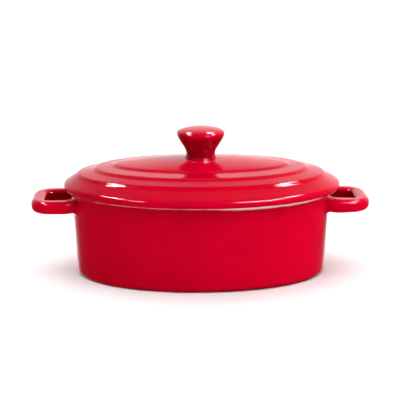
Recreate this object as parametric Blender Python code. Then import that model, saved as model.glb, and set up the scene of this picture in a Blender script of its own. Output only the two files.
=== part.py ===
"""Small oval covered casserole dish of glazed stoneware.

An oval pot with two horizontal loop handles and an overhanging lid with three raised steps and a
flared knob. Metres, +Z up. The origin is on the table, under the middle of the pot; +X runs along the
length, from the left handle to the right one, and -Y is the front.
"""

import math

import bmesh
import bpy

MM = 0.001
GAP = 0.3 * MM  # left between pieces that are luted together or rest on each other

# Every outline is the same kind of oval: an ellipse made slightly squarer by this exponent (2 is an ellipse).
OVAL_EXPONENT = 2.04
OVAL_SEGMENTS = 64

# Pot, measured outside at its rim
POT_HALF_LENGTH = 64.0 * MM
POT_HALF_WIDTH = 40.6 * MM
POT_HEIGHT = 42.4 * MM
WALL = 4.6 * MM
WALL_DRAFT = math.radians(2.6)
FLOOR_HEIGHT = 5.0 * MM
FLOOR_FILLET = 8.0 * MM
FOOT_ROUNDING = 2.5 * MM
FOOT_RING_WIDTH = 4.0 * MM
FOOT_RECESS = 1.0 * MM
ARC_STEPS = 5

# Handles: a rounded bar bent into an oblong loop, whose inner side is sunk into the end wall
# (side, reach from the pot's middle to the outer edge, height of the bar's middle); set on by hand, they differ
LEFT_HANDLE = (-1, 83.9 * MM, 36.2 * MM)
RIGHT_HANDLE = (1, 83.3 * MM, 35.9 * MM)
HANDLE_HALF_SPAN = 12.7 * MM  # from the loop's centre line to the middle of each arm
BAR_WIDTH = 6.8 * MM
BAR_THICKNESS = 6.4 * MM
BAR_EXPONENT = 2.6
BAR_SIDES = 12
LOOP_INNER_LINE = 61.8 * MM
LOOP_CORNER_RADIUS = 6.6 * MM
LOOP_CORNER_STEPS = 5
LOOP_STRAIGHT_STEPS = 3

# Lid, measured outside at its edge
LID_OVERHANG = 4.6 * MM  # past the pot's rim, all round
LID_HALF_LENGTH = POT_HALF_LENGTH + LID_OVERHANG
LID_HALF_WIDTH = POT_HALF_WIDTH + LID_OVERHANG
LID_BOTTOM = POT_HEIGHT + GAP
LID_SIDEWAYS = 0.5 * MM  # the lid sits this far to the right in its loose fit
LID_EDGE_ROUNDING = 2.1 * MM
LID_SHOULDER_ANGLE = 60.0  # degrees round the edge at which the rounding meets the outer slope
LID_THICKNESS = 4.5 * MM
# Each step of the lid, as its riser's foot and top: (inset from the lid's edge along its length, inset across
# its width, height above the lid's bottom).
STEPS = (
    ((6.3 * MM, 8.8 * MM, 7.1 * MM), (7.9 * MM, 10.2 * MM, 8.5 * MM)),
    ((14.7 * MM, 15.3 * MM, 9.8 * MM), (16.9 * MM, 17.5 * MM, 11.0 * MM)),
    ((24.5 * MM, 24.5 * MM, 11.55 * MM), (26.7 * MM, 26.7 * MM, 12.55 * MM)),
)
STEPS_SIDEWAYS = -0.6 * MM  # the steps sit a little to the left of the lid's middle
PLATEAU_RISE = 2.7 * MM
PLATEAU_RINGS = 5
UNDERSIDE_RINGS = 4

# Locating flange, which drops into the pot's mouth
FLANGE_CLEARANCE = 1.2 * MM
FLANGE_WIDTH = 3.0 * MM
FLANGE_DEPTH = 3.6 * MM
FLANGE_ROUNDING = 1.0 * MM

# Knob
KNOB_CAP_RADIUS = 11.8 * MM
KNOB_NECK_RADIUS = 7.15 * MM
KNOB_BASE_RADIUS = 8.0 * MM
KNOB_HEIGHT = 15.0 * MM
KNOB_CAP_HEIGHT = 12.1 * MM  # where the cap is widest, above the knob's base
KNOB_NECK_HEIGHT = 1.6 * MM
KNOB_SIDEWAYS = -0.7 * MM  # set on by hand, a little to the left of the lid's middle
KNOB_SEGMENTS = 40
KNOB_CAP_STEPS = 6
KNOB_NECK_STEPS = 7

GLAZE_RED = (0.60, 0.004, 0.018, 1.0)
GLAZE_ROUGHNESS = 0.12


def clear_scene():
    for old in list(bpy.data.objects):
        bpy.data.objects.remove(old, do_unlink=True)


def glaze_material(name, color=GLAZE_RED):
    """Glossy red glaze over stoneware."""
    material = bpy.data.materials.new(name)
    material.use_nodes = True
    shader = material.node_tree.nodes["Principled BSDF"]
    shader.inputs["Base Color"].default_value = color
    shader.inputs["Roughness"].default_value = GLAZE_ROUGHNESS
    shader.inputs["Metallic"].default_value = 0.0
    return material


def power(value, exponent):
    return math.copysign(abs(value) ** exponent, value)


def oval_ring(half_length, half_width, height, centre_x=0.0):
    """Points round one oval, starting at +X and turning towards +Y."""
    points = []
    for step in range(OVAL_SEGMENTS):
        angle = 2.0 * math.pi * step / OVAL_SEGMENTS
        x = centre_x + half_length * power(math.cos(angle), 2.0 / OVAL_EXPONENT)
        y = half_width * power(math.sin(angle), 2.0 / OVAL_EXPONENT)
        points.append((x, y, height))
    return points


def arc(centre_inset, centre_height, radius, start, end, steps=ARC_STEPS):
    """(inset, height) points on an arc; 0 degrees points outwards, away from the middle, and 90 up."""
    points = []
    for step in range(steps + 1):
        angle = math.radians(start + (end - start) * step / steps)
        points.append((centre_inset - radius * math.cos(angle), centre_height + radius * math.sin(angle)))
    return points


def add_object(name, mesh_builder, material):
    """Makes an object from a bmesh, with its faces turned outwards and its round sides shaded smooth."""
    bmesh.ops.recalc_face_normals(mesh_builder, faces=mesh_builder.faces)
    mesh = bpy.data.meshes.new(name)
    mesh_builder.to_mesh(mesh)
    mesh_builder.free()
    mesh.shade_smooth()
    mesh.set_sharp_from_angle(angle=math.radians(40))
    mesh.materials.append(material)
    made = bpy.data.objects.new(name, mesh)
    bpy.context.scene.collection.objects.link(made)
    return made


def bridge(mesh_builder, lower, upper):
    """Quads between two rings of the same number of vertices."""
    count = len(lower)
    for step in range(count):
        after = (step + 1) % count
        mesh_builder.faces.new((lower[step], lower[after], upper[after], upper[step]))


def skin_rings(rings, closed=False):
    """A bmesh through a list of rings of points. An end of one point is a pole; closed joins last to first."""
    mesh_builder = bmesh.new()
    loops = []
    for ring in rings:
        loops.append([mesh_builder.verts.new(point) for point in ring])
    pairs = list(zip(loops[:-1], loops[1:], strict=True))
    if closed:
        pairs.append((loops[-1], loops[0]))
    for lower, upper in pairs:
        if len(lower) == 1 or len(upper) == 1:
            pole, rim = (lower[0], upper) if len(lower) == 1 else (upper[0], lower)
            for step, vertex in enumerate(rim):
                mesh_builder.faces.new((pole, vertex, rim[(step + 1) % len(rim)]))
        else:
            bridge(mesh_builder, lower, upper)
    return mesh_builder


def inset_rings(half_length, half_width, profile):
    """Oval rings that follow a profile of (inset, height) points, each inset equally all round."""
    return [oval_ring(half_length - inset, half_width - inset, height) for inset, height in profile]


def wall_inset(height):
    """How far the pot's drafted outer wall has come in at a height."""
    return (POT_HEIGHT - height) * math.tan(WALL_DRAFT)


def pot_profile():
    """From the recess under the foot, out and up the wall, over the rim, and down to the floor inside."""
    foot_inset = wall_inset(FOOT_ROUNDING) + FOOT_ROUNDING
    ring_inner = foot_inset + FOOT_RING_WIDTH
    rim_radius = WALL / 2.0
    floor_corner = wall_inset(FLOOR_HEIGHT + FLOOR_FILLET) + WALL + FLOOR_FILLET
    profile = [(ring_inner + FOOT_RECESS, FOOT_RECESS), (ring_inner, 0.0)]
    profile += arc(foot_inset, FOOT_ROUNDING, FOOT_ROUNDING, -90.0, 0.0)
    profile += arc(rim_radius, POT_HEIGHT - rim_radius, rim_radius, 0.0, 180.0, 2 * ARC_STEPS)
    profile += arc(floor_corner, FLOOR_HEIGHT + FLOOR_FILLET, FLOOR_FILLET, 0.0, -90.0)
    return profile


def build_pot_tub():
    rings = inset_rings(POT_HALF_LENGTH, POT_HALF_WIDTH, pot_profile())
    rings = [[(0.0, 0.0, FOOT_RECESS)], *rings, [(0.0, 0.0, FLOOR_HEIGHT)]]
    return add_object("pot_tub", skin_rings(rings), glaze_material("pot_glaze"))


def loop_line(handle_reach):
    """A handle's centre line in plan: an oblong with rounded corners, its inner side at the pot."""
    outer_line = handle_reach - BAR_WIDTH / 2.0
    middle = (outer_line + LOOP_INNER_LINE) / 2.0
    reach = (outer_line - LOOP_INNER_LINE) / 2.0 - LOOP_CORNER_RADIUS
    span = HANDLE_HALF_SPAN - LOOP_CORNER_RADIUS
    line = []
    for corner, (side_x, side_y) in enumerate(((1, 1), (-1, 1), (-1, -1), (1, -1))):
        for step in range(LOOP_CORNER_STEPS + 1):
            angle = math.radians(90.0 * (corner + step / LOOP_CORNER_STEPS))
            direction = (math.cos(angle), math.sin(angle))
            x = middle + side_x * reach + LOOP_CORNER_RADIUS * direction[0]
            y = side_y * span + LOOP_CORNER_RADIUS * direction[1]
            line.append((x, y, direction))
    return subdivided(line)


def subdivided(line):
    """Adds points along the straight sides, between the last point of one corner and the first of the next."""
    full = []
    per_corner = LOOP_CORNER_STEPS + 1
    for index, (x, y, direction) in enumerate(line):
        full.append((x, y, direction))
        if index % per_corner == per_corner - 1:
            next_x, next_y, _ = line[(index + 1) % len(line)]
            for step in range(1, LOOP_STRAIGHT_STEPS):
                share = step / LOOP_STRAIGHT_STEPS
                full.append((x + (next_x - x) * share, y + (next_y - y) * share, direction))
    return full


def bar_section(x, y, direction, bar_height):
    """One rounded section of the handle's bar, across its centre line."""
    section = []
    for side in range(BAR_SIDES):
        angle = 2.0 * math.pi * side / BAR_SIDES
        out = BAR_WIDTH / 2.0 * power(math.cos(angle), 2.0 / BAR_EXPONENT)
        up = BAR_THICKNESS / 2.0 * power(math.sin(angle), 2.0 / BAR_EXPONENT)
        section.append((x + out * direction[0], y + out * direction[1], bar_height + up))
    return section


def build_wall_cutter():
    """The pot's outer wall grown by the gap: it trims the handles where they meet the pot."""
    top = POT_HEIGHT + BAR_THICKNESS
    profile = [(wall_inset(0.0) - GAP, 0.0), (wall_inset(top) - GAP, top)]
    rings = inset_rings(POT_HALF_LENGTH, POT_HALF_WIDTH, profile)
    rings = [[(0.0, 0.0, 0.0)], *rings, [(0.0, 0.0, top)]]
    cutter = add_object("wall_cutter", skin_rings(rings), glaze_material("cutter"))
    cutter.hide_render = True
    cutter.display_type = "WIRE"
    return cutter


def build_handle(name, handle, cutter):
    """One loop handle; its side is 1 for the right end and -1 for the left."""
    side, reach, bar_height = handle
    sections = [bar_section(x, y, direction, bar_height) for x, y, direction in loop_line(reach)]
    mirrored = [[(side * x, y, z) for x, y, z in section] for section in sections]
    handle = add_object(name, skin_rings(mirrored, closed=True), glaze_material(name + "_glaze"))
    trim = handle.modifiers.new("trim_to_wall", "BOOLEAN")
    trim.operation = "DIFFERENCE"
    trim.solver = "EXACT"
    trim.object = cutter
    return handle


def plateau_half_sizes():
    """Half length and half width of the lid's top step, at the riser's top."""
    inset_along, inset_across, _ = STEPS[-1][1]
    return LID_HALF_LENGTH - inset_along, LID_HALF_WIDTH - inset_across


def plateau_height(x, y):
    """Height of the lid's domed top step at a point."""
    half_length, half_width = plateau_half_sizes()
    across = abs((x - STEPS_SIDEWAYS) / half_length) ** OVAL_EXPONENT
    share = across + abs(y / half_width) ** OVAL_EXPONENT
    edge = LID_BOTTOM + STEPS[-1][1][2]
    return edge + PLATEAU_RISE * (1.0 - share ** (2.0 / OVAL_EXPONENT))


def lid_edge_rings():
    """The lid's rounded edge, from its bottom to the foot of the outer slope."""
    centre = LID_BOTTOM + LID_EDGE_ROUNDING
    profile = arc(LID_EDGE_ROUNDING, centre, LID_EDGE_ROUNDING, -90.0, LID_SHOULDER_ANGLE, 2 * ARC_STEPS)
    return inset_rings(LID_HALF_LENGTH, LID_HALF_WIDTH, profile)


def step_rings():
    """Each riser's foot, middle and top."""
    rings = []
    for foot, top in STEPS:
        for share in (0.0, 0.5, 1.0):
            inset_along, inset_across, height = (a + (b - a) * share for a, b in zip(foot, top, strict=True))
            half_length = LID_HALF_LENGTH - inset_along
            half_width = LID_HALF_WIDTH - inset_across
            rings.append(oval_ring(half_length, half_width, LID_BOTTOM + height, STEPS_SIDEWAYS))
    return rings


def dome_rings(half_length, half_width, edge_height, rise, count, centre_x=0.0):
    """Scaled ovals from an edge towards its middle, rising as a shallow dome."""
    rings = []
    for step in range(1, count):
        share = 1.0 - step / count
        height = edge_height + rise * (1.0 - share**2)
        rings.append(oval_ring(half_length * share, half_width * share, height, centre_x))
    return rings


def flange_insets():
    """The locating flange's outer and inner inset from the lid's edge."""
    outer = LID_OVERHANG + WALL + FLANGE_CLEARANCE
    return outer, outer + FLANGE_WIDTH


def build_lid_cover():
    half_length, half_width = plateau_half_sizes()
    edge = LID_BOTTOM + STEPS[-1][1][2]
    top_rings = lid_edge_rings() + step_rings()
    top_rings += dome_rings(half_length, half_width, edge, PLATEAU_RISE, PLATEAU_RINGS, STEPS_SIDEWAYS)
    top_rings.append([(STEPS_SIDEWAYS, 0.0, edge + PLATEAU_RISE)])
    # Underside: a flat seat as far as the flange, then a hollow that follows the steps.
    seat_inset = flange_insets()[1] + 0.5 * MM
    seat_length = LID_HALF_LENGTH - seat_inset
    seat_width = LID_HALF_WIDTH - seat_inset
    hollow_inset = seat_inset + LID_THICKNESS
    hollow_edge = edge - LID_THICKNESS - 1.0 * MM
    hollow_top = edge + PLATEAU_RISE - LID_THICKNESS
    hollow_length = LID_HALF_LENGTH - hollow_inset
    hollow_width = LID_HALF_WIDTH - hollow_inset
    underside = [oval_ring(seat_length, seat_width, LID_BOTTOM)]
    underside.append(oval_ring(hollow_length, hollow_width, hollow_edge))
    underside += dome_rings(hollow_length, hollow_width, hollow_edge, hollow_top - hollow_edge, UNDERSIDE_RINGS)
    rings = [[(0.0, 0.0, hollow_top)], *reversed(underside), *top_rings]
    return add_object("lid_cover", skin_rings(rings), glaze_material("lid_glaze"))


def build_lid_flange():
    """An oval ring that hangs from the lid's seat into the pot's mouth."""
    outer, inner = flange_insets()
    top = LID_BOTTOM - GAP
    bottom = top - FLANGE_DEPTH
    corner = bottom + FLANGE_ROUNDING
    profile = [(inner, top), (outer, top)]
    profile += arc(outer + FLANGE_ROUNDING, corner, FLANGE_ROUNDING, 0.0, -90.0, 3)
    profile += arc(inner - FLANGE_ROUNDING, corner, FLANGE_ROUNDING, -90.0, -180.0, 3)
    rings = inset_rings(LID_HALF_LENGTH, LID_HALF_WIDTH, profile)
    material = glaze_material("flange_glaze")
    return add_object("lid_locating_flange", skin_rings(rings, closed=True), material)


def knob_profile():
    """(radius, height above the base) from the base's edge, up the neck and over the cap."""
    profile = []
    for step in range(KNOB_NECK_STEPS + 1):
        height = KNOB_CAP_HEIGHT * 0.9 * step / KNOB_NECK_STEPS
        if height < KNOB_NECK_HEIGHT:
            flare = (1.0 - height / KNOB_NECK_HEIGHT) ** 2
            radius = KNOB_NECK_RADIUS + (KNOB_BASE_RADIUS - KNOB_NECK_RADIUS) * flare
        else:
            share = (height - KNOB_NECK_HEIGHT) / (KNOB_CAP_HEIGHT - KNOB_NECK_HEIGHT)
            spread = share**2 * (3.0 - 2.0 * share)
            radius = KNOB_NECK_RADIUS + (KNOB_CAP_RADIUS - KNOB_NECK_RADIUS) * spread
        profile.append((radius, height))
    cap_rise = KNOB_HEIGHT - KNOB_CAP_HEIGHT
    for step in range(KNOB_CAP_STEPS):
        angle = math.radians(90.0 * step / KNOB_CAP_STEPS)
        profile.append((KNOB_CAP_RADIUS * math.cos(angle), KNOB_CAP_HEIGHT + cap_rise * math.sin(angle)))
    return profile


def build_lid_knob():
    """The knob. Its lowest ring follows the lid's dome, a gap above it."""
    base = plateau_height(0.0, 0.0) + GAP
    rings = []
    for level, (radius, height) in enumerate(knob_profile()):
        ring = []
        for step in range(KNOB_SEGMENTS):
            angle = 2.0 * math.pi * step / KNOB_SEGMENTS
            x = KNOB_SIDEWAYS + radius * math.cos(angle)
            y = radius * math.sin(angle)
            z = plateau_height(x, y) + GAP if level == 0 else base + height
            ring.append((x, y, z))
        rings.append(ring)
    rings = [[(KNOB_SIDEWAYS, 0.0, base)], *rings, [(KNOB_SIDEWAYS, 0.0, base + KNOB_HEIGHT)]]
    return add_object("lid_knob", skin_rings(rings), glaze_material("knob_glaze"))


def build_dish():
    clear_scene()
    pot = build_pot_tub()
    cutter = build_wall_cutter()
    for name, handle in (("pot_handle_left", LEFT_HANDLE), ("pot_handle_right", RIGHT_HANDLE)):
        build_handle(name, handle, cutter).parent = pot
    # The lid lifts straight up. The empty stands on that axis, and its place is the lid's place.
    lift = bpy.data.objects.new("lid_lift_axis", None)
    lift.empty_display_size = 20.0 * MM
    lift.location.x = LID_SIDEWAYS
    bpy.context.scene.collection.objects.link(lift)
    for piece in (build_lid_cover(), build_lid_flange(), build_lid_knob()):
        piece.parent = lift


build_dish()
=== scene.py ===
import math

import bpy
import numpy as np
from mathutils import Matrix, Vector


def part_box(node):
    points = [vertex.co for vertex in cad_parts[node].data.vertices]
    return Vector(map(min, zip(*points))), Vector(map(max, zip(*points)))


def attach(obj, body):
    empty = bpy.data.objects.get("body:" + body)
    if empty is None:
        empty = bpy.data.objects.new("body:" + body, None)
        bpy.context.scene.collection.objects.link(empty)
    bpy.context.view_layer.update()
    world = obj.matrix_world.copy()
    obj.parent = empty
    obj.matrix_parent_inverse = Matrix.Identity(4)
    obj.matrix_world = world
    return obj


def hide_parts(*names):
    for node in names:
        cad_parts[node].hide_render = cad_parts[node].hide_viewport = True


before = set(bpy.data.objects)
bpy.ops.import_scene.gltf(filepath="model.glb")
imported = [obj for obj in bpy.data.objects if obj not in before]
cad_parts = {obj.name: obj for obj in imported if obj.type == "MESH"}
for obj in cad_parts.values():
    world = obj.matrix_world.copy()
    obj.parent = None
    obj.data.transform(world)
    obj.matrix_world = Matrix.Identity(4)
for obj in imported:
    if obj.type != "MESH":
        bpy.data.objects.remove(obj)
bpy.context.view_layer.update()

MM = 0.001
AROUND = 320  # points round each oval
OVAL_EXPONENT = 2.04  # 2 is an ellipse; a little more is squarer
SAMPLING = 0.12 * MM  # spacing along a profile before its corners are softened
EMBED = 0.25 * MM  # how far a luted piece reaches into the one that carries it
CAD_GAP = 0.3 * MM  # left by the CAD between pieces that are luted together
UNEVENNESS = 0.05 * MM  # waviness of the hand-finished pot and lid

# Pot
WALL = 4.6 * MM
WALL_DRAFT = math.radians(2.6)
FOOT_ROUNDING = 2.5 * MM
FOOT_RING_WIDTH = 4.0 * MM
FOOT_RECESS = 1.0 * MM
FLOOR_HEIGHT = 5.0 * MM
FLOOR_FILLET = 8.0 * MM
POT_SOFTENING = 0.25 * MM
POT_RINGS = 190
FLAT_RINGS = 13  # rings across the foot recess, and across the floor

# Handles: half sizes of the bar's section, and the loop it follows
BAR_HALF_WIDTH = 3.4 * MM
BAR_HALF_THICKNESS = 3.2 * MM
BAR_ROUNDING = 2.5 * MM
LOOP_INNER_LINE = 61.8 * MM
LOOP_CORNER_RADIUS = 6.6 * MM
FILLET_BELOW = 3.0 * MM
FILLET_ABOVE = 1.1 * MM
HANDLE_CELL = 0.22 * MM
HANDLE_INNER_END = 54.0 * MM  # where the sampled box starts, inside the wall
SWELL_LENGTH = 14.0 * MM
RIGHT_SWELL = 0.5 * MM  # added to the half width of the right handle's near arm at its root
GRADIENT_STEP = 0.01 * MM
TURNING_SPREAD = 0.35 * MM
HOLE_SHADE_START = 2.6 * MM  # how far inside the loop's line the painted shade in the handle's hole starts
HOLE_SHADE_SPAN = 0.8 * MM

# Lid. Each step is its riser's foot and top: (inset from the lid's edge along its length, inset across its
# width, height above the lid's bottom).
LID_EDGE_RADIUS = 2.1 * MM
LID_SHOULDER_ANGLE = 60.0
STEPS = (
    ((6.3 * MM, 8.8 * MM, 7.1 * MM), (7.9 * MM, 10.2 * MM, 8.5 * MM)),
    ((14.7 * MM, 15.3 * MM, 9.8 * MM), (16.9 * MM, 17.5 * MM, 11.0 * MM)),
    ((24.5 * MM, 24.5 * MM, 11.55 * MM), (26.7 * MM, 26.7 * MM, 12.55 * MM)),
)
STEPS_SIDEWAYS = -0.6 * MM  # the steps sit a little to the left of the lid's middle
PLATEAU_RISE = 2.7 * MM
LID_THICKNESS = 4.5 * MM
LID_SOFTENING = 0.42 * MM
LID_RINGS = 250
HOLLOW_RINGS = 15
FLANGE_WIDTH = 3.0 * MM
FLANGE_ROUNDING = 1.0 * MM

# Knob
KNOB_AROUND = 192
KNOB_NECK_RADIUS = 7.15 * MM
KNOB_BASE_RADIUS = 8.0 * MM
KNOB_NECK_HEIGHT = 1.6 * MM
KNOB_HEIGHT = 15.0 * MM
KNOB_CAP_HEIGHT = 12.1 * MM
KNOB_SOFTENING = 0.3 * MM
KNOB_RINGS = 150
# share of painted shade laid on the knob's neck under its cap
KNOB_NECK_SHADE = 0.6

# Camera
VIEW_TARGET = Vector((-0.55 * MM, 0.0, 35.95 * MM))
VIEW_AZIMUTH = math.radians(-2.25)
VIEW_ELEVATION = math.radians(14.6)
VIEW_DISTANCE = 598.0 * MM
LENS = 107.6

# Lights: name, azimuth (0 is the front, 90 the right) and elevation in degrees, size in metres, radiance
GLOSS_LIGHTS = (
    ("softbox_left", -99.0, 59.0, (0.34, 0.11), 100.0),
    ("softbox_right", 100.0, 57.0, (0.36, 0.11), 75.0),
    ("softbox_front_right", 43.0, 46.0, (0.34, 0.17), 200.0),
    ("softbox_front_left", -48.0, 47.0, (0.14, 0.14), 90.0),
)
# Two small gloss lights that reach only the knob, in the same terms
KNOB_LIGHTS = (
    ("knob_light_left", -157.0, 50.0, (0.17, 0.11), 45.0),
    ("knob_light_right", 160.0, 50.0, (0.15, 0.10), 45.0),
)
# Matt lights also say what they reach: all but the paper ("dish") or the paper alone ("paper")
MATT_LIGHTS = (
    ("key_light", 72.0, 40.0, (1.0, 1.0), 8.4, "dish"),
    ("overhead_light", 0.0, 60.0, (1.0, 1.0), 4.4, "dish"),
    ("paper_light", 0.0, 88.0, (2.4, 2.4), 3.3, "paper"),
)
GLOSS_DISTANCE = 0.9
MATT_DISTANCE = 1.6

# Paper sweep, in metres: it is flat to SWEEP_FLAT behind the dish, then curves up
SWEEP_FRONT = -2.0
SWEEP_FLAT = 0.9
SWEEP_RADIUS = 0.6
SWEEP_HEIGHT = 2.6
SWEEP_HALF_WIDTH = 2.6
SWEEP_STEPS = 16

# The world's colour, its level behind and in front of the dish, and its share of that high up, below the
# horizon, and below the horizon far behind
WORLD_COLOUR = (1.0, 0.80, 0.83, 1.0)
WORLD_BACK = 1.35
WORLD_FRONT = 0.2
WORLD_ABOVE = 0.4
WORLD_BELOW = 0.15
WORLD_FAR_BELOW = 0.8

# Colours, linear
GLAZE_DEEP = (0.50, 0.0, 0.016, 1.0)
# painted shade: the darker red laid in the handles' holes and on the knob's neck under its cap
GLAZE_PAINTED_SHADE = (0.17, 0.0, 0.003, 1.0)
# paler red over sharp edges: partly thinner glaze, partly a painted highlight
THIN_GLAZE_AND_HIGHLIGHT = (0.80, 0.30, 0.28, 1.0)
CREAM = (0.97, 0.84, 0.75, 1.0)
CLAY = (0.62, 0.47, 0.34, 1.0)
PAPER_DARK = (0.86, 0.86, 0.86, 1.0)
PAPER_LIGHT = (0.88, 0.88, 0.88, 1.0)

# Where colours change, in mm along the profile past the rim's top, the outer foot or the lid's widest edge
POT_CREAM_BREAK = (-3.1, -2.2)
POT_CLAY_BREAK = (-0.4, -0.8)
LID_RED_BREAK = (-3.8, -3.5)
FOOT_DULL_SPAN = (0.5, 3.0)
CREAM_SHADE_LEAN = -0.85  # on the left the cream starts this much nearer to the rim's top, in mm: painted shade on the side away from the key light
CREAM_SHADE_LEAN_SPAN = (0.0, 0.018)  # and in metres, where along x that painted shade fades out
THIN_AND_HIGHLIGHT_TURNING = (0.7, 2.2)  # curvature, per mm, over which the glaze runs thinner and a painted highlight is laid on the edge

# Gloss: colour of the red glaze's reflection, and the roughness of the broad and of the small pieces
RED_GLOSS = (0.4, 0.14, 0.18, 1.0)
CREAM_GLOSS = (1.0, 1.0, 1.0, 1.0)
BROAD_ROUGHNESS = (0.06, 0.11)
SMALL_ROUGHNESS = (0.025, 0.05)
GLAZE_IOR = 1.47


# ---------------------------------------------------------------- mesh helpers


def signed_power(value, exponent):
    return np.sign(value) * np.abs(value) ** exponent


def oval_rings(half_lengths, half_widths, heights, centre_x=0.0, count=AROUND):
    """Array of rings of points: one oval for each (half length, half width, height)."""
    turn = np.arange(count) * 2.0 * math.pi / count
    across = signed_power(np.cos(turn), 2.0 / OVAL_EXPONENT)
    along = signed_power(np.sin(turn), 2.0 / OVAL_EXPONENT)
    rings = np.empty((len(heights), count, 3))
    rings[:, :, 0] = np.broadcast_to(centre_x, len(heights))[:, None] + np.outer(half_lengths, across)
    rings[:, :, 1] = np.outer(half_widths, along)
    rings[:, :, 2] = np.asarray(heights)[:, None]
    return rings


def arc(centre_inset, centre_height, radius, start, end, steps=24):
    """(inset, height) points on an arc; 0 degrees points away from the middle, and 90 up."""
    angles = np.radians(np.linspace(start, end, steps + 1))
    return [(centre_inset - radius * math.cos(a), centre_height + radius * math.sin(a)) for a in angles]


def resampled(profile, spacing=SAMPLING):
    """Evenly spaced points along a profile, whose rows may hold any number of values."""
    points = np.array(profile)
    lengths = np.concatenate([[0.0], np.cumsum(np.linalg.norm(np.diff(points, axis=0), axis=1))])
    wanted = np.linspace(0.0, lengths[-1], max(2, int(lengths[-1] / spacing)))
    return np.stack([np.interp(wanted, lengths, column) for column in points.T], axis=1)


def softened(rings, spread, passes=60):
    """Rounds the corners across the rings, by the same distance at every angle round the oval."""
    points = rings.copy()
    step = spread**2 / 2.0 / passes
    for _ in range(passes):
        sides = np.diff(points, axis=0)
        gaps = np.maximum(np.linalg.norm(sides, axis=2, keepdims=True), 0.3 * SAMPLING)
        tangents = sides / gaps
        points[1:-1] += step * np.diff(tangents, axis=0) * 2.0 / (gaps[1:] + gaps[:-1])
    return points


def ring_turning(rings):
    """Signed curvature across each ring, per metre: positive where the profile is convex."""
    section = rings[:, 0, :][:, [0, 2]]
    sides = np.diff(section, axis=0)
    angles = np.unwrap(np.arctan2(sides[:, 1], sides[:, 0]))
    lengths = np.linalg.norm(sides, axis=1)
    inner = np.diff(angles) / np.maximum((lengths[1:] + lengths[:-1]) / 2.0, 1e-7)
    return np.concatenate([inner[:1], inner, inner[-1:]])


def chosen_rings(rings, count, widest=2.4 * MM):
    """Picks rings close together where the profile turns and wider apart where it is straight."""
    section = rings[:, 0, :][:, [0, 2]]
    lengths = np.linalg.norm(np.diff(section, axis=0), axis=1)
    turning = np.abs(ring_turning(rings))
    density = 1.0 / widest + np.minimum(turning, 2000.0) * 2.6
    share = np.concatenate([[0.0], np.cumsum(lengths * (density[1:] + density[:-1]) / 2.0)])
    picked = np.searchsorted(share, np.linspace(0.0, share[-1], count))
    return np.unique(np.clip(picked, 0, len(rings) - 1))


def faces_between(ring_count, around, closed):
    rows = np.arange(ring_count if closed else ring_count - 1)
    columns = np.arange(around)
    low, left = np.meshgrid(rows, columns, indexing="ij")
    high = (low + 1) % ring_count
    right = (left + 1) % around
    corners = (low * around + left, low * around + right, high * around + right, high * around + left)
    return np.stack([c.ravel() for c in corners], axis=1).tolist()


def mesh_object(name, vertices, faces, attributes):
    mesh = bpy.data.meshes.new(name)
    mesh.from_pydata(np.asarray(vertices).tolist(), [], faces)
    mesh.update()
    mesh.shade_smooth()
    for attribute, values in attributes.items():
        layer = mesh.attributes.new(attribute, "FLOAT", "POINT")
        layer.data.foreach_set("value", np.asarray(values, np.float32))
    made = bpy.data.objects.new(name, mesh)
    bpy.context.scene.collection.objects.link(made)
    return made


def skinned(name, rings, attributes, closed=False):
    """A solid through rings; the first and last ring end in a pole unless the rings close on themselves."""
    count, around = rings.shape[:2]
    faces = faces_between(count, around, closed)
    vertices = rings.reshape(-1, 3)
    values = {key: np.repeat(value, around) for key, value in attributes.items()}
    if not closed:
        poles = [rings[0].mean(axis=0), rings[-1].mean(axis=0)]
        first, last = len(vertices), len(vertices) + 1
        vertices = np.concatenate([vertices, poles])
        top = (count - 1) * around
        for step in range(around):
            after = (step + 1) % around
            faces.append([first, after, step])
            faces.append([last, top + step, top + after])
        for key, value in attributes.items():
            values[key] = np.concatenate([values[key], [value[0], value[-1]]])
    return mesh_object(name, vertices, faces, values)


def distance_along(rings):
    """Distance along the profile to each ring, from the first one."""
    section = rings[:, 0, :][:, [0, 2]]
    return np.concatenate([[0.0], np.cumsum(np.linalg.norm(np.diff(section, axis=0), axis=1))])


def make_uneven(obj, size):
    """Gives a piece the slight waviness of hand-finished clay, keeping its height."""
    mesh = obj.data
    count = len(mesh.vertices)
    points = np.empty(count * 3)
    normals = np.empty(count * 3)
    mesh.vertices.foreach_get("co", points)
    mesh.vertex_normals.foreach_get("vector", normals)
    points = points.reshape(-1, 3)
    wave = np.zeros(count)
    for x, y, z, phase, share in (
        (210.0, 90.0, 60.0, 0.3, 0.5),
        (-130.0, 240.0, 110.0, 1.9, 0.4),
        (90.0, -330.0, 250.0, 4.1, 0.3),
        (410.0, 210.0, -180.0, 2.6, 0.2),
    ):
        wave += share * np.sin(points @ np.array((x, y, z)) + phase)
    lowest, highest = points[:, 2].min(), points[:, 2].max()
    points += normals.reshape(-1, 3) * (wave * size)[:, None]
    points[:, 2] = np.clip(points[:, 2], lowest, highest)
    mesh.vertices.foreach_set("co", points.ravel())
    mesh.update()


# ---------------------------------------------------------------- pot


def wall_inset(height, pot_height):
    return (pot_height - height) * math.tan(WALL_DRAFT)


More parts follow.
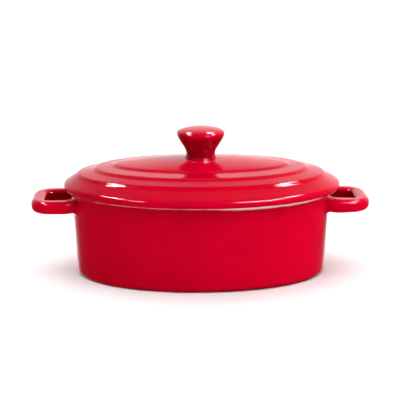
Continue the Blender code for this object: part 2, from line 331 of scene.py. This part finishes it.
def build_pot():
    low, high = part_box("pot_tub")
    length, width, top = high.x, high.y, high.z
    foot_inset = wall_inset(FOOT_ROUNDING, top) + FOOT_ROUNDING
    ring_inner = foot_inset + FOOT_RING_WIDTH
    rim_radius = WALL / 2.0
    floor_corner = wall_inset(FLOOR_HEIGHT + FLOOR_FILLET, top) + WALL + FLOOR_FILLET
    profile = [(ring_inner + 3.0 * FOOT_RECESS, FOOT_RECESS), (ring_inner + 0.6 * FOOT_RECESS, FOOT_RECESS)]
    profile += [(ring_inner, 0.0)]
    profile += arc(foot_inset, FOOT_ROUNDING, FOOT_ROUNDING, -90.0, 0.0)
    profile += arc(rim_radius, top - rim_radius, rim_radius, 0.0, 180.0)
    profile += arc(floor_corner, FLOOR_HEIGHT + FLOOR_FILLET, FLOOR_FILLET, 0.0, -88.0)
    points = resampled(profile)
    rings = oval_rings(length - points[:, 0], width - points[:, 0], points[:, 1])
    shares = np.linspace(0.02, 1.0, FLAT_RINGS + 1)[:-1]
    start, end = profile[0], profile[-1]
    recess_heights = np.full(FLAT_RINGS, FOOT_RECESS)
    recess = oval_rings((length - start[0]) * shares, (width - start[0]) * shares, recess_heights)
    floor_heights = np.full(FLAT_RINGS, end[1])
    floor = oval_rings((length - end[0]) * shares, (width - end[0]) * shares, floor_heights)
    rings = softened(rings, POT_SOFTENING)
    middle = chosen_rings(rings, POT_RINGS)
    turning = ring_turning(rings)[middle]
    rings = np.concatenate([recess, rings[middle], floor[::-1]])
    turning = np.concatenate([np.zeros(FLAT_RINGS), turning, np.zeros(FLAT_RINGS)])
    along = distance_along(rings)
    rim_top = along[np.argmax(rings[:, 0, 2])]
    outer_foot = along[np.nonzero(rings[:, 0, 2] < 0.35 * MM)[0].max()]
    attributes = {
        "turning": turning * MM,
        "past_rim": (along - rim_top) / MM,
        "past_foot": (along - outer_foot) / MM,
    }
    pot = skinned("pot_glazed", rings, attributes)
    make_uneven(pot, UNEVENNESS)
    return pot


# ---------------------------------------------------------------- handles


def wall_distance(x, y, z, pot):
    """Distance outwards from the pot's drafted oval wall."""
    half_length = pot[0] - (pot[2] - z) * math.tan(WALL_DRAFT)
    half_width = pot[1] - (pot[2] - z) * math.tan(WALL_DRAFT)
    n = OVAL_EXPONENT
    gauge = ((np.abs(x) / half_length) ** n + (np.abs(y) / half_width) ** n) ** (1.0 / n)
    slope_x = (np.abs(x) / half_length) ** (n - 1.0) / half_length
    slope_y = (np.abs(y) / half_width) ** (n - 1.0) / half_width
    slope = gauge ** (1.0 - n) * np.sqrt(slope_x**2 + slope_y**2)
    return (gauge - 1.0) / slope * math.cos(WALL_DRAFT)


def smooth_step(value):
    share = np.clip(value, 0.0, 1.0)
    return share * share * (3.0 - 2.0 * share)


def loop_offset(x, y, handle):
    """Distance outwards from the line the loop follows; negative towards its hole."""
    reach, half_span = handle[:2]
    outer_line = reach - BAR_HALF_WIDTH
    middle = (outer_line + LOOP_INNER_LINE) / 2.0
    qx = np.abs(x - middle) - ((outer_line - LOOP_INNER_LINE) / 2.0 - LOOP_CORNER_RADIUS)
    qy = np.abs(y) - (half_span - LOOP_CORNER_RADIUS)
    line = np.hypot(np.maximum(qx, 0.0), np.maximum(qy, 0.0)) + np.minimum(np.maximum(qx, qy), 0.0)
    return line - LOOP_CORNER_RADIUS


def bar_distance(x, y, z, handle):
    """Distance from the surface of the loop's bar."""
    reach, half_span, bar_height, near_swell = handle
    root = smooth_step((reach - BAR_HALF_WIDTH - x) / SWELL_LENGTH) * smooth_step(-y / half_span)
    swell = near_swell * root
    across = np.abs(loop_offset(x, y, handle)) - (BAR_HALF_WIDTH + swell - BAR_ROUNDING)
    up = np.abs(z - bar_height) - (BAR_HALF_THICKNESS + 0.5 * swell - BAR_ROUNDING)
    outside = np.hypot(np.maximum(across, 0.0), np.maximum(up, 0.0))
    return outside + np.minimum(np.maximum(across, up), 0.0) - BAR_ROUNDING


def handle_fields(x, y, z, handle, pot):
    """(blended surface, trimmed solid): the bar joined to the wall by a round fillet, then cut free of it."""
    bar = bar_distance(x, y, z, handle)
    wall = wall_distance(x, y, z, pot)
    below = smooth_step((handle[2] + 1.5 * MM - z) / (3.0 * MM))
    fillet = FILLET_ABOVE + (FILLET_BELOW - FILLET_ABOVE) * below
    inside = np.hypot(np.maximum(fillet - bar, 0.0), np.maximum(fillet - wall, 0.0))
    blended = np.maximum(fillet, np.minimum(bar, wall)) - inside
    trimmed = np.maximum(np.maximum(blended, -(wall + EMBED)), bar - (fillet - 0.2 * MM))
    return blended, trimmed


def gradient(field, points, step):
    """Numeric gradient of a field at points."""
    slopes = np.empty_like(points)
    for axis in range(3):
        offset = np.zeros(3)
        offset[axis] = step
        ahead = field(*(points + offset).T)
        behind = field(*(points - offset).T)
        slopes[:, axis] = (ahead - behind) / (2.0 * step)
    return slopes


def surface_of(values, origin, cell):
    """Vertices and quads where a field on a grid crosses zero, one vertex to a cell."""
    inside = values < 0.0
    corners = np.zeros(tuple(n - 1 for n in values.shape), np.int8)
    across, along, up = corners.shape
    for i in (0, 1):
        for j in (0, 1):
            for k in (0, 1):
                corners += inside[i : i + across, j : j + along, k : k + up]
    active = (corners > 0) & (corners < 8)
    number = np.full(active.shape, -1)
    cells = np.argwhere(active)
    number[active] = np.arange(len(cells))
    vertices = origin + (cells + 0.5) * cell
    quads = []
    for axis in range(3):
        first, second = (axis + 1) % 3, (axis + 2) % 3
        ahead = np.roll(inside, -1, axis=axis)
        crossing = np.argwhere(inside != ahead)
        crossing = crossing[crossing[:, axis] < values.shape[axis] - 1]
        crossing = crossing[(crossing[:, first] > 0) & (crossing[:, second] > 0)]
        keep = np.all(crossing < np.array(active.shape), axis=1)
        crossing = crossing[keep]
        back_first, back_second = np.eye(3, dtype=int)[first], np.eye(3, dtype=int)[second]
        opposite = crossing - back_first - back_second
        square = [crossing, crossing - back_first, opposite, crossing - back_second]
        quad = np.stack([number[tuple(c.T)] for c in square], axis=1)
        leaving = inside[tuple(crossing.T)]
        quads.append(np.where(leaving[:, None], quad, quad[:, ::-1]))
    return vertices, np.concatenate(quads)


def settled(vertices, field):
    """Vertices moved onto the surface where a distance field is zero."""
    for _ in range(4):
        slopes = gradient(field, vertices, GRADIENT_STEP)
        share = field(*vertices.T) / np.maximum((slopes**2).sum(axis=1), 0.25)
        vertices = vertices - np.clip(share, -HANDLE_CELL, HANDLE_CELL)[:, None] * slopes * 0.9
    return vertices


def field_turning(field, points):
    """Curvature per metre of a distance field's surface at points on it."""
    around = 0.0
    for step in np.eye(3) * TURNING_SPREAD:
        around = around + field(*(points - step).T)
        around = around + field(*(points + step).T)
    return (around - 6.0 * field(*points.T)) / TURNING_SPREAD**2


def set_normals(made, normals, hidden):
    """Shades a piece with the given normals, and its own where it is hidden inside the wall."""
    own = np.empty(len(normals) * 3)
    made.data.vertex_normals.foreach_get("vector", own)
    normals[hidden] = own.reshape(-1, 3)[hidden]
    normals /= np.linalg.norm(normals, axis=1, keepdims=True)
    made.data.normals_split_custom_set_from_vertices(normals.tolist())


def build_handle(name, node, near_swell):
    low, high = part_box(node)
    pot_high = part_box("pot_tub")[1]
    pot = (pot_high.x, pot_high.y, pot_high.z)
    side = 1.0 if high.x > 0.0 else -1.0
    reach = high.x if side > 0.0 else -low.x
    bar_height = (low.z + high.z) / 2.0
    half_span = (high.y - low.y) / 2.0 - BAR_HALF_WIDTH
    handle = (reach, half_span, bar_height, near_swell)
    margin = FILLET_BELOW + 1.0 * MM
    start = np.array((HANDLE_INNER_END, -half_span - BAR_HALF_WIDTH - margin, low.z - margin))
    end = np.array((reach + 1.0 * MM, half_span + BAR_HALF_WIDTH + margin, high.z + margin))
    axes = [np.arange(a, b, HANDLE_CELL) for a, b in zip(start, end, strict=True)]
    x, y, z = np.meshgrid(*axes, indexing="ij")
    vertices, quads = surface_of(handle_fields(x, y, z, handle, pot)[1], start, HANDLE_CELL)

    def blended(x, y, z):
        return handle_fields(x, y, z, handle, pot)[0]

    def trimmed(x, y, z):
        return handle_fields(x, y, z, handle, pot)[1]

    vertices = settled(vertices, trimmed)
    normals = gradient(blended, vertices, GRADIENT_STEP)
    turning = field_turning(blended, vertices)
    # painted shade: the surfaces inside the handle's hole are darkened
    towards_hole = -loop_offset(vertices[:, 0], vertices[:, 1], handle)
    painted_shade = smooth_step((towards_hole - HOLE_SHADE_START) / HOLE_SHADE_SPAN)
    vertices[:, 0] *= side
    normals[:, 0] *= side
    if side < 0.0:
        quads = quads[:, ::-1]
    made = mesh_object(name, vertices, quads.tolist(), {"turning": turning * MM, "painted_shade": painted_shade})
    hidden = wall_distance(np.abs(vertices[:, 0]), vertices[:, 1], vertices[:, 2], pot) < -0.5 * EMBED
    set_normals(made, normals, hidden)
    return made


# ---------------------------------------------------------------- lid


def lid_sizes():
    low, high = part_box("lid_cover")
    centre = (low.x + high.x) / 2.0
    return centre, (high.x - low.x) / 2.0, high.y, low.z


def plateau_sizes():
    """Middle, half length, half width and height of the top step, at its riser's top."""
    centre, length, width, bottom = lid_sizes()
    inset_along, inset_across, height = STEPS[-1][1]
    return centre + STEPS_SIDEWAYS, length - inset_along, width - inset_across, bottom + height


def plateau_height(x, y):
    """Height of the lid's domed top step at a point."""
    centre, length, width, edge = plateau_sizes()
    across = np.abs((x - centre) / length) ** OVAL_EXPONENT
    share = (across + np.abs(y / width) ** OVAL_EXPONENT) ** (2.0 / OVAL_EXPONENT)
    return edge + PLATEAU_RISE * (1.0 - share)


def build_lid():
    centre, length, width, bottom = lid_sizes()
    flange_low, flange_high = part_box("lid_locating_flange")
    seat_inset = length - (flange_high.x - flange_low.x) / 2.0 + FLANGE_WIDTH + 0.5 * MM
    hollow_inset = seat_inset + LID_THICKNESS
    plateau_centre, plateau_length, plateau_width, edge = plateau_sizes()
    hollow_edge = edge - LID_THICKNESS - 1.0 * MM
    profile = [(hollow_inset, hollow_edge), (seat_inset, bottom)]
    profile += arc(LID_EDGE_RADIUS, bottom + LID_EDGE_RADIUS, LID_EDGE_RADIUS, -90.0, LID_SHOULDER_ANGLE)
    profile = [(inset, inset, height, 0.0) for inset, height in profile]
    for ends in STEPS:
        for along, across, height in ends:
            profile.append((along, across, bottom + height, STEPS_SIDEWAYS))
    points = resampled(profile)
    rings = oval_rings(length - points[:, 0], width - points[:, 1], points[:, 2], centre + points[:, 3])
    fine = np.arange(1, 60) * SAMPLING / plateau_width
    coarse = np.linspace(fine[-1], 0.97, 30)[1:]
    shares = 1.0 - np.concatenate([fine, coarse])
    heights = edge + PLATEAU_RISE * (1.0 - shares**2)
    dome = oval_rings(plateau_length * shares, plateau_width * shares, heights, plateau_centre)
    rings = softened(np.concatenate([rings, dome]), LID_SOFTENING)
    picked = chosen_rings(rings, LID_RINGS)
    turning = ring_turning(rings)[picked]
    rings = rings[picked]
    hollow_shares = np.linspace(0.03, 1.0, HOLLOW_RINGS + 1)[:-1]
    hollow_length, hollow_width = length - hollow_inset, width - hollow_inset
    hollow_top = edge + PLATEAU_RISE - LID_THICKNESS
    hollow_heights = hollow_edge + (hollow_top - hollow_edge) * (1.0 - hollow_shares**2)
    hollow = oval_rings(hollow_length * hollow_shares, hollow_width * hollow_shares, hollow_heights, centre)
    rings = np.concatenate([hollow, rings])
    turning = np.concatenate([np.zeros(HOLLOW_RINGS), turning])
    along = distance_along(rings)
    outermost = along[np.argmax(rings[:, 0, 0])]
    attributes = {"turning": turning * MM, "past_edge": (along - outermost) / MM}
    lid = skinned("lid_glazed", rings, attributes)
    make_uneven(lid, UNEVENNESS)
    return lid


def build_flange():
    low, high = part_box("lid_locating_flange")
    centre = (low.x + high.x) / 2.0
    length, width = (high.x - low.x) / 2.0, high.y
    corner = low.z + FLANGE_ROUNDING
    top = high.z + CAD_GAP + EMBED
    profile = [(FLANGE_WIDTH, top), (FLANGE_WIDTH, corner)]
    profile += arc(FLANGE_WIDTH - FLANGE_ROUNDING, corner, FLANGE_ROUNDING, -180.0, -90.0)
    profile += arc(FLANGE_ROUNDING, corner, FLANGE_ROUNDING, -90.0, 0.0)
    profile += [(0.0, top)]
    points = resampled(profile, 0.3 * MM)
    rings = oval_rings(length - points[:, 0], width - points[:, 0], points[:, 1], centre)
    turning = ring_turning(rings)
    return skinned("lid_flange_glazed", rings, {"turning": turning * MM}, closed=True)


def knob_radius(height):
    flare = np.clip(1.0 - height / KNOB_NECK_HEIGHT, 0.0, 1.0) ** 2.6
    share = smooth_step((height - KNOB_NECK_HEIGHT) / (KNOB_CAP_HEIGHT - KNOB_NECK_HEIGHT))
    low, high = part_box("lid_knob")
    cap_radius = (high.x - low.x) / 2.0
    below = KNOB_NECK_RADIUS + (KNOB_BASE_RADIUS - KNOB_NECK_RADIUS) * flare
    return below + (cap_radius - KNOB_NECK_RADIUS) * share


def build_knob():
    low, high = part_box("lid_knob")
    centre_x = (low.x + high.x) / 2.0
    cap_radius = (high.x - low.x) / 2.0
    base = high.z - KNOB_HEIGHT
    heights = np.arange(0.0, KNOB_CAP_HEIGHT, SAMPLING)
    neck = np.stack([knob_radius(heights), heights], axis=1)
    angles = np.radians(np.linspace(0.0, 88.0, 90))
    rise = KNOB_HEIGHT - KNOB_CAP_HEIGHT
    cap = np.stack([cap_radius * np.cos(angles), KNOB_CAP_HEIGHT + rise * np.sin(angles)], axis=1)
    under = [(2.0 * MM, -2.0 * MM), (KNOB_BASE_RADIUS - 1.0 * MM, -2.0 * MM)]
    under += [(KNOB_BASE_RADIUS + 0.6 * MM, -0.9 * MM)]
    points = resampled(np.concatenate([under, neck, cap]))
    turn = np.arange(KNOB_AROUND) * 2.0 * math.pi / KNOB_AROUND
    rings = np.empty((len(points), KNOB_AROUND, 3))
    rings[:, :, 0] = centre_x + np.outer(points[:, 0], np.cos(turn))
    rings[:, :, 1] = np.outer(points[:, 0], np.sin(turn))
    rings[:, :, 2] = base + points[:, 1][:, None]
    droop = plateau_height(rings[:, :, 0], rings[:, :, 1]) - plateau_height(plateau_sizes()[0], 0.0)
    rings[:, :, 2] += droop * (1.0 - smooth_step(points[:, 1] / (2.0 * MM)))[:, None]
    rings = softened(rings, KNOB_SOFTENING)
    picked = chosen_rings(rings, KNOB_RINGS, 1.2 * MM)
    turning = ring_turning(rings)[picked]
    # painted shade: the knob darkens below its cap, down the neck to the lid
    painted_shade = KNOB_NECK_SHADE * smooth_step((KNOB_CAP_HEIGHT + 0.6 * MM - points[picked, 1]) / (3.0 * MM))
    return skinned("knob_glazed", rings[picked], {"turning": turning * MM, "painted_shade": painted_shade})


# ---------------------------------------------------------------- materials


def new_material(name):
    material = bpy.data.materials.new(name)
    material.use_nodes = True
    tree = material.node_tree
    return material, tree, tree.nodes["Principled BSDF"]


def add_node(tree, kind, **settings):
    made = tree.nodes.new(kind)
    for key, value in settings.items():
        setattr(made, key, value)
    return made


def attribute_of(tree, name):
    return add_node(tree, "ShaderNodeAttribute", attribute_name=name).outputs["Fac"]


def noise(tree, scale, detail=2.0):
    """Noise over the object's own coordinates; scale is in cycles per metre."""
    position = add_node(tree, "ShaderNodeTexCoord").outputs["Object"]
    made = add_node(tree, "ShaderNodeTexNoise")
    made.inputs["Scale"].default_value = scale
    made.inputs["Detail"].default_value = detail
    tree.links.new(position, made.inputs["Vector"])
    return made.outputs["Fac"]


def object_x(tree):
    """The object's own x coordinate, in metres."""
    split = add_node(tree, "ShaderNodeSeparateXYZ")
    tree.links.new(add_node(tree, "ShaderNodeTexCoord").outputs["Object"], split.inputs["Vector"])
    return split.outputs["X"]


def remap(tree, value, low, high, to_low=0.0, to_high=1.0):
    made = add_node(tree, "ShaderNodeMapRange", interpolation_type="SMOOTHSTEP")
    tree.links.new(value, made.inputs["Value"])
    for socket, number in (("From Min", low), ("From Max", high), ("To Min", to_low), ("To Max", to_high)):
        made.inputs[socket].default_value = number
    return made.outputs["Result"]


def maths(tree, operation, first, second):
    made = add_node(tree, "ShaderNodeMath", operation=operation)
    for socket, value in zip(made.inputs, (first, second), strict=False):
        if isinstance(value, (int, float)):
            socket.default_value = value
        else:
            tree.links.new(value, socket)
    return made.outputs["Value"]


def mix(tree, share, first, second):
    made = add_node(tree, "ShaderNodeMix", data_type="RGBA")
    for socket, value in ((made.inputs[0], share), (made.inputs[6], first), (made.inputs[7], second)):
        if isinstance(value, (int, float, tuple)):
            socket.default_value = value
        else:
            tree.links.new(value, socket)
    return made.outputs[2]


def red_glaze_colour(tree):
    """Deep red, clouded a little; darker as painted shade in the handles' holes and under the knob's cap;
    paler over sharp edges, where the glaze runs thinner and a painted highlight is laid.
    """
    clouds = remap(tree, noise(tree, 60.0, 3.0), 0.3, 0.7)
    deep = mix(tree, clouds, GLAZE_DEEP, tuple(c * 1.1 for c in GLAZE_DEEP[:3]) + (1.0,))
    # painted shade: darker in the handles' holes and under the knob's cap
    deep = mix(tree, attribute_of(tree, "painted_shade"), deep, GLAZE_PAINTED_SHADE)
    ragged = maths(tree, "MULTIPLY", noise(tree, 900.0, 3.0), 0.35)
    turning = maths(tree, "SUBTRACT", attribute_of(tree, "turning"), ragged)
    # paler over sharp edges: thinner glaze there, plus a painted highlight
    thin_and_highlight = remap(tree, turning, *THIN_AND_HIGHLIGHT_TURNING)
    return mix(tree, thin_and_highlight, deep, THIN_GLAZE_AND_HIGHLIGHT)


def finish_gloss(tree, shader, tint=RED_GLOSS, roughness=BROAD_ROUGHNESS):
    shader.inputs["IOR"].default_value = GLAZE_IOR
    shader.inputs["Specular Tint"].default_value = tint
    tree.links.new(remap(tree, noise(tree, 300.0), 0.3, 0.7, *roughness), shader.inputs["Roughness"])
    bump = add_node(tree, "ShaderNodeBump")
    bump.inputs["Strength"].default_value = 0.35
    bump.inputs["Distance"].default_value = 0.012 * MM
    tree.links.new(noise(tree, 700.0, 2.0), bump.inputs["Height"])
    tree.links.new(bump.outputs["Normal"], shader.inputs["Normal"])


def plain_red_material(name):
    material, tree, shader = new_material(name)
    tree.links.new(red_glaze_colour(tree), shader.inputs["Base Color"])
    finish_gloss(tree, shader, roughness=SMALL_ROUGHNESS)
    return material


def pot_material():
    """Red outside, cream over the rim and inside, the rim's cream narrowed on the left as painted shade; bare
    clay on the foot ring; dull close to the foot.
    """
    material, tree, shader = new_material("pot_glaze")
    red = red_glaze_colour(tree)
    wander = maths(tree, "MULTIPLY", maths(tree, "SUBTRACT", noise(tree, 150.0, 3.0), 0.5), 0.7)
    # painted shade: the rim's cream line narrows on the left, away from the key light
    shade_lean = remap(tree, object_x(tree), *CREAM_SHADE_LEAN_SPAN, CREAM_SHADE_LEAN, 0.0)
    rim = maths(tree, "ADD", attribute_of(tree, "past_rim"), maths(tree, "ADD", wander, shade_lean))
    coloured = mix(tree, remap(tree, rim, *POT_CREAM_BREAK), red, CREAM)
    foot = maths(tree, "ADD", attribute_of(tree, "past_foot"), wander)
    colour = mix(tree, remap(tree, foot, *POT_CLAY_BREAK), coloured, CLAY)
    tree.links.new(colour, shader.inputs["Base Color"])
    finish_gloss(tree, shader)
    tree.links.new(remap(tree, foot, *FOOT_DULL_SPAN, 0.0, 0.5), shader.inputs["Specular IOR Level"])
    return material


def lid_material():
    """Red on top, cream on the underside."""
    material, tree, shader = new_material("lid_glaze")
    red = red_glaze_colour(tree)
    wander = maths(tree, "MULTIPLY", maths(tree, "SUBTRACT", noise(tree, 220.0, 3.0), 0.5), 0.8)
    edge = maths(tree, "ADD", attribute_of(tree, "past_edge"), wander)
    tree.links.new(mix(tree, remap(tree, edge, *LID_RED_BREAK), CREAM, red), shader.inputs["Base Color"])
    finish_gloss(tree, shader)
    return material


def cream_material():
    material, tree, shader = new_material("cream_glaze")
    darker = tuple(c * 0.94 for c in CREAM[:3]) + (1.0,)
    clouds = remap(tree, noise(tree, 90.0), 0.3, 0.7)
    tree.links.new(mix(tree, clouds, CREAM, darker), shader.inputs["Base Color"])
    finish_gloss(tree, shader, CREAM_GLOSS)
    return material


def floor_material():
    material, tree, shader = new_material("paper_sweep")
    shader.inputs["Roughness"].default_value = 0.9
    shader.inputs["Specular IOR Level"].default_value = 0.0
    grain = remap(tree, noise(tree, 2500.0), 0.3, 0.7)
    paper = mix(tree, grain, PAPER_DARK, PAPER_LIGHT)
    tree.links.new(paper, shader.inputs["Base Color"])
    return material


# ---------------------------------------------------------------- studio


def build_sweep():
    """A white paper sweep: floor, curve and back wall. Reflections see the world's level in its place."""
    profile = [(SWEEP_FRONT, 0.0), (SWEEP_FRONT / 2.0, 0.0), (0.0, 0.0), (SWEEP_FLAT, 0.0)]
    for step in range(1, SWEEP_STEPS + 1):
        angle = math.radians(90.0 * step / SWEEP_STEPS)
        height = SWEEP_RADIUS - SWEEP_RADIUS * math.cos(angle)
        profile.append((SWEEP_FLAT + SWEEP_RADIUS * math.sin(angle), height))
    profile.append((SWEEP_FLAT + SWEEP_RADIUS, SWEEP_HEIGHT))
    vertices, faces = [], []
    for y, z in profile:
        vertices += [(-SWEEP_HALF_WIDTH, y, z), (SWEEP_HALF_WIDTH, y, z)]
    for step in range(len(profile) - 1):
        faces.append([2 * step, 2 * step + 1, 2 * step + 3, 2 * step + 2])
    sweep = mesh_object("paper_sweep", vertices, faces, {})
    sweep.data.materials.append(floor_material())
    sweep.visible_glossy = False
    return sweep


def add_softbox(name, azimuth, elevation, distance, size, radiance):
    light = bpy.data.lights.new(name, "AREA")
    light.shape = "RECTANGLE"
    light.size, light.size_y = size
    light.energy = radiance * size[0] * size[1] * math.pi
    made = bpy.data.objects.new(name, light)
    turn, rise = math.radians(azimuth), math.radians(elevation)
    aim = Vector((math.sin(turn) * math.cos(rise), -math.cos(turn) * math.cos(rise), math.sin(rise)))
    made.location = VIEW_TARGET + aim * distance
    made.rotation_euler = aim.to_track_quat("Z", "Y").to_euler()
    made.visible_camera = False
    bpy.context.scene.collection.objects.link(made)
    return made


def link_light(light, thing, state):
    """Lets a light reach only one object ("INCLUDE") or everything but that object ("EXCLUDE")."""
    receivers = bpy.data.collections.new(light.name + "_receivers")
    receivers.objects.link(thing)
    receivers.collection_objects[0].light_linking.link_state = state
    light.light_linking.receiver_collection = receivers


def build_world():
    """Pale surroundings: brightest low down behind the dish, dimmer above, in front and below the horizon."""
    world = bpy.data.worlds.new("studio_air")
    world.use_nodes = True
    tree = world.node_tree
    direction = add_node(tree, "ShaderNodeTexCoord").outputs["Generated"]
    split = add_node(tree, "ShaderNodeSeparateXYZ")
    tree.links.new(direction, split.inputs["Vector"])
    level = remap(tree, split.outputs["Y"], 0.1, 0.95, WORLD_FRONT, WORLD_BACK)
    above = remap(tree, split.outputs["Z"], 0.5, 0.95, 1.0, WORLD_ABOVE)
    below = remap(tree, split.outputs["Z"], -0.04, -0.12)
    dimmer = remap(tree, split.outputs["Y"], 0.6, 0.95, 1.0 - WORLD_BELOW, 1.0 - WORLD_FAR_BELOW)
    floor_share = maths(tree, "SUBTRACT", 1.0, maths(tree, "MULTIPLY", below, dimmer))
    level = maths(tree, "MULTIPLY", level, maths(tree, "MULTIPLY", above, floor_share))
    tree.links.new(level, tree.nodes["Background"].inputs["Strength"])
    tree.nodes["Background"].inputs["Color"].default_value = WORLD_COLOUR
    bpy.context.scene.world = world


def build_lights(sweep, knob):
    for name, azimuth, elevation, size, radiance in GLOSS_LIGHTS:
        add_softbox(name, azimuth, elevation, GLOSS_DISTANCE, size, radiance).visible_diffuse = False
    for name, azimuth, elevation, size, radiance in KNOB_LIGHTS:
        light = add_softbox(name, azimuth, elevation, GLOSS_DISTANCE, size, radiance)
        light.visible_diffuse = False
        link_light(light, knob, "INCLUDE")
    for name, azimuth, elevation, size, radiance, receiver in MATT_LIGHTS:
        light = add_softbox(name, azimuth, elevation, MATT_DISTANCE, size, radiance)
        light.visible_glossy = False
        link_light(light, sweep, "INCLUDE" if receiver == "paper" else "EXCLUDE")
    build_world()


def build_camera():
    data = bpy.data.cameras.new("camera")
    data.lens = LENS
    data.sensor_width = 36.0
    data.clip_start = 0.01
    camera = bpy.data.objects.new("camera", data)
    flat = math.cos(VIEW_ELEVATION)
    back = Vector((math.sin(VIEW_AZIMUTH) * flat, -math.cos(VIEW_AZIMUTH) * flat, math.sin(VIEW_ELEVATION)))
    camera.location = VIEW_TARGET + back * VIEW_DISTANCE
    camera.rotation_euler = back.to_track_quat("Z", "Y").to_euler()
    bpy.context.scene.collection.objects.link(camera)
    bpy.context.scene.camera = camera


def place(piece, body, node, material):
    piece.data.materials.append(material)
    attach(piece, body)
    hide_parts(node)


def build_scene():
    place(build_pot(), "pot", "pot_tub", pot_material())
    handle_material = plain_red_material("handle_glaze")
    left = build_handle("left_handle_glazed", "pot_handle_left", 0.0)
    place(left, "pot", "pot_handle_left", handle_material)
    right = build_handle("right_handle_glazed", "pot_handle_right", RIGHT_SWELL)
    place(right, "pot", "pot_handle_right", handle_material)
    place(build_lid(), "lid", "lid_cover", lid_material())
    place(build_flange(), "lid", "lid_locating_flange", cream_material())
    knob = build_knob()
    place(knob, "lid", "lid_knob", plain_red_material("knob_glaze"))
    build_lights(build_sweep(), knob)
    build_camera()
    bpy.context.scene.view_settings.view_transform = "Standard"


build_scene()
